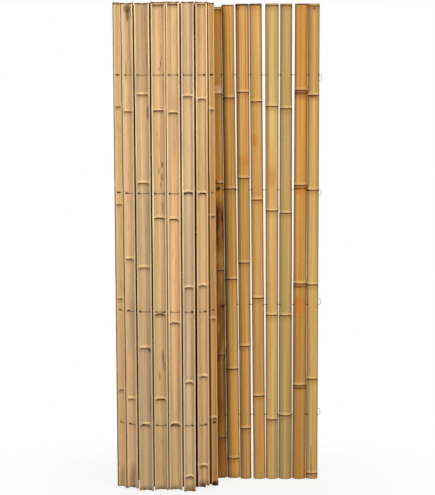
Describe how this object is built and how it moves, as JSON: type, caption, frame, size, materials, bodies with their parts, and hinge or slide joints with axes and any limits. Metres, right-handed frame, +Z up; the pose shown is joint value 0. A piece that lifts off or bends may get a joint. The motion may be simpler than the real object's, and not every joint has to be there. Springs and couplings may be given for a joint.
{
  "type": "bamboo fence panel",
  "caption": "Fence mat of half-round split bamboo canes threaded on galvanised wires, standing with one end open flat and the rest rolled up.",
  "frame": {"origin": "on the ground, in the middle of the mat's extent in plan", "axes": "+Z up along the canes, +X along the flat open end to its free edge, -Y to the side that the open end's skin faces"},
  "size_m": [0.777, 0.2522, 1.8004],
  "materials": {
    "split_bamboo": "natural skin side with a satin gloss, hollow side and cut faces pale, dry and fibrous",
    "galvanised_wire": "dull galvanised, weathered grey"
  },
  "bodies": {
    "root": {"slat_01": "split_bamboo", "slat_02": "split_bamboo", "slat_03": "split_bamboo", "slat_04": "split_bamboo", "slat_05": "split_bamboo", "slat_06": "split_bamboo", "slat_07": "split_bamboo", "slat_08": "split_bamboo", "slat_09": "split_bamboo", "slat_10": "split_bamboo", "slat_11": "split_bamboo", "slat_12": "split_bamboo", "slat_13": "split_bamboo", "slat_14": "split_bamboo", "slat_15": "split_bamboo", "slat_16": "split_bamboo", "slat_17": "split_bamboo", "slat_18": "split_bamboo", "slat_19": "split_bamboo", "slat_20": "split_bamboo", "slat_21": "split_bamboo", "slat_22": "split_bamboo", "slat_23": "split_bamboo", "slat_24": "split_bamboo", "slat_25": "split_bamboo", "slat_26": "split_bamboo", "slat_27": "split_bamboo", "slat_28": "split_bamboo", "slat_29": "split_bamboo", "slat_30": "split_bamboo", "slat_31": "split_bamboo", "slat_32": "split_bamboo", "slat_33": "split_bamboo", "slat_34": "split_bamboo", "slat_35": "split_bamboo", "foot_wire": "galvanised_wire", "lower_wire": "galvanised_wire", "upper_wire": "galvanised_wire", "head_wire": "galvanised_wire"}
  },
  "joints": []
}
